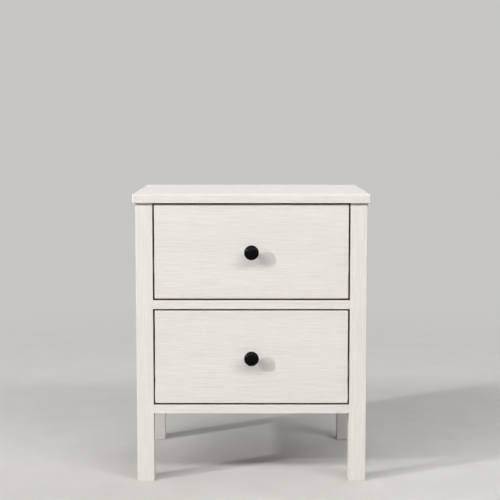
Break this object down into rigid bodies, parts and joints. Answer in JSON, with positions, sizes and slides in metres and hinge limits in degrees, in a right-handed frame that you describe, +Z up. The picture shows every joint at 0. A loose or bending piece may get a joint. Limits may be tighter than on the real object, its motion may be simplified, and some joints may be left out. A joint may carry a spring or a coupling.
{
  "type": "nightstand with drawers",
  "caption": "Square-legged white nightstand with flush inset drawers on ball-bearing slides, each pulled by a round black knob.",
  "frame": {"origin": "on the floor, at the middle of the footprint with the knobs included", "axes": "+X to the right of someone who faces the drawers, +Y to the back, +Z up"},
  "size_m": [0.48, 0.396, 0.592],
  "materials": {
    "white_paint": "white satin paint over a fine straight grain",
    "pale_wood": "clear lacquered pale wood",
    "white_hardboard": "white-faced hardboard",
    "dowel_wood": "plain beech",
    "black_satin": "black satin coat",
    "zinc_steel": "zinc-plated sheet steel",
    "ball_chrome": "polished balls",
    "zinc_alloy": "die-cast zinc",
    "screw_steel": "zinc-plated steel",
    "grey_nylon": "moulded nylon with a steel nail"
  },
  "bodies": {
    "carcass": {"back_panel": "white_hardboard", "back_panel_screws": "screw_steel", "bottom_front_rail": "white_paint", "bottom_rear_rail": "white_paint", "foot_glides": "grey_nylon", "front_left_leg": "white_paint", "front_right_leg": "white_paint", "left_side_panel": "white_paint", "lower_left_batten": "pale_wood", "lower_left_slide_channel": "zinc_steel", "lower_right_batten": "pale_wood", "lower_right_slide_channel": "zinc_steel", "middle_front_rail": "white_paint", "rail_cam_bolts": "screw_steel", "rail_cam_nuts": "zinc_alloy", "rear_left_leg": "white_paint", "rear_right_leg": "white_paint", "right_side_panel": "white_paint", "slide_screws": "screw_steel", "top_front_stretcher": "white_paint", "top_panel": "white_paint", "top_rear_stretcher": "white_paint", "top_screws": "screw_steel", "upper_left_batten": "pale_wood", "upper_left_slide_channel": "zinc_steel", "upper_right_batten": "pale_wood", "upper_right_slide_channel": "zinc_steel", "wood_dowels": "dowel_wood"},
    "upper_drawer": {"upper_drawer_back": "pale_wood", "upper_drawer_back_screws": "screw_steel", "upper_drawer_bottom": "white_hardboard", "upper_drawer_cam_bolts": "screw_steel", "upper_drawer_cam_nuts": "zinc_alloy", "upper_drawer_front": "white_paint", "upper_drawer_left_side": "pale_wood", "upper_drawer_right_side": "pale_wood", "upper_knob": "black_satin", "upper_knob_screw": "screw_steel", "upper_left_slide_runner": "zinc_steel", "upper_right_slide_runner": "zinc_steel", "upper_runner_screws": "screw_steel"},
    "lower_drawer": {"lower_drawer_back": "pale_wood", "lower_drawer_back_screws": "screw_steel", "lower_drawer_bottom": "white_hardboard", "lower_drawer_cam_bolts": "screw_steel", "lower_drawer_cam_nuts": "zinc_alloy", "lower_drawer_front": "white_paint", "lower_drawer_left_side": "pale_wood", "lower_drawer_right_side": "pale_wood", "lower_knob": "black_satin", "lower_knob_screw": "screw_steel", "lower_left_slide_runner": "zinc_steel", "lower_right_slide_runner": "zinc_steel", "lower_runner_screws": "screw_steel"},
    "upper_cages": {"upper_ball_cages": "zinc_steel", "upper_slide_balls": "ball_chrome"},
    "lower_cages": {"lower_ball_cages": "zinc_steel", "lower_slide_balls": "ball_chrome"}
  },
  "joints": [
    {"name": "upper_drawer_slide", "type": "slide", "parent": "carcass", "child": "upper_drawer", "axis": [0, -1, 0], "range_m": [0, 0.225]},
    {"name": "lower_drawer_slide", "type": "slide", "parent": "carcass", "child": "lower_drawer", "axis": [0, -1, 0], "range_m": [0, 0.225]},
    {"name": "upper_cage_travel", "type": "slide", "parent": "carcass", "child": "upper_cages", "axis": [0, -1, 0], "range_m": [0, 0.1125]},
    {"name": "lower_cage_travel", "type": "slide", "parent": "carcass", "child": "lower_cages", "axis": [0, -1, 0], "range_m": [0, 0.1125]}
  ],
  "couplings": [
    {"joint": "upper_cage_travel", "follows": "upper_drawer_slide", "ratio": 0.5},
    {"joint": "lower_cage_travel", "follows": "lower_drawer_slide", "ratio": 0.5}
  ]
}
